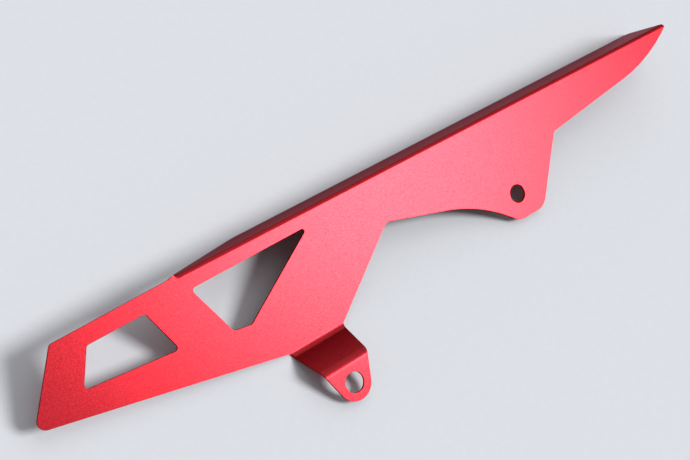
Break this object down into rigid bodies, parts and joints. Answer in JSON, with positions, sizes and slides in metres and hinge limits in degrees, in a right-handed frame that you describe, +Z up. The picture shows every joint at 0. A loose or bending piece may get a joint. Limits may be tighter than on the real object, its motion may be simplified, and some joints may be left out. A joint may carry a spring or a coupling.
{
  "type": "motorcycle chain guard",
  "caption": "Folded aluminium sheet guard for a motorcycle drive chain: slim side plate with cut windows, top flange, stepped ear and bolt holes.",
  "frame": {"origin": "centre of the footprint at floor level, as the guard lies at rest", "axes": "+X along the top fold towards the tail, +Y towards the flange's side, +Z up from the floor it lies on"},
  "size_m": [0.5066, 0.1236, 0.0386],
  "materials": {
    "anodised_sheet": "red anodised, fine bead-blasted satin"
  },
  "bodies": {
    "root": {"chain_guard": "anodised_sheet"}
  },
  "joints": []
}
